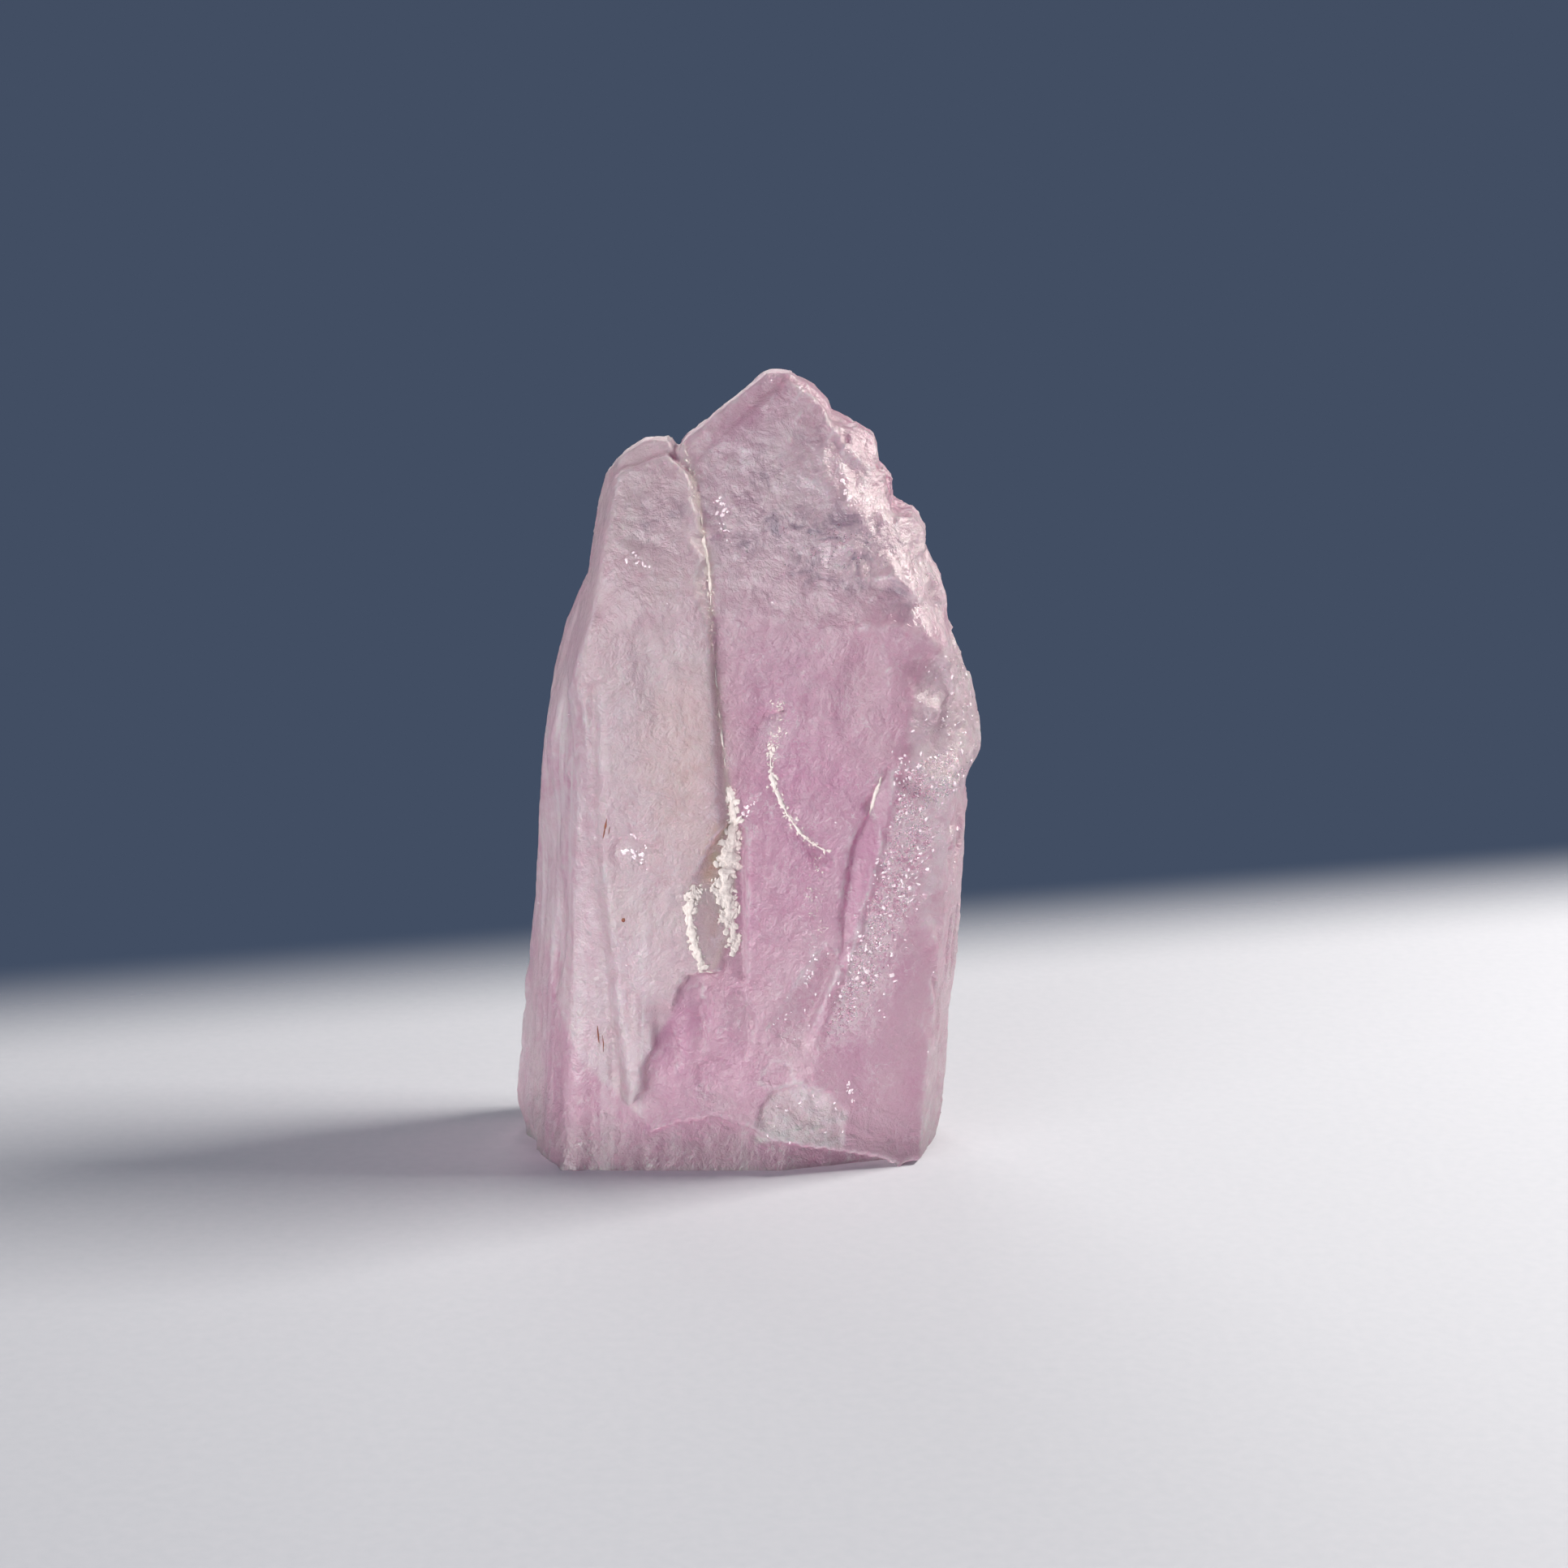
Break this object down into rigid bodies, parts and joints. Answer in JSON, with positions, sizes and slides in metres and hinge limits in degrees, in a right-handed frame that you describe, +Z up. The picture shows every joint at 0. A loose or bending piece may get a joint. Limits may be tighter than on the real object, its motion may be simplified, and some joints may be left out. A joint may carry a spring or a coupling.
{
  "type": "kunzite crystal",
  "caption": "Raw rose kunzite: tabular crystals grown side by side with a seam between them, a broken peak, a clear knob on the right and a flat foot to stand on.",
  "frame": {"origin": "middle of the bounding box, on the flat foot", "axes": "+Z up along the crystal's length, -Y towards the viewer of the picture, +X to the viewer's right"},
  "size_m": [0.0243, 0.013, 0.04],
  "materials": {
    "kunzite": "frosted by natural etching, translucent rose",
    "crust": "matt white powdery crust",
    "iron_stain": "matt rusty stain"
  },
  "bodies": {
    "root": {"kunzite_crystal": "kunzite"}
  },
  "joints": []
}
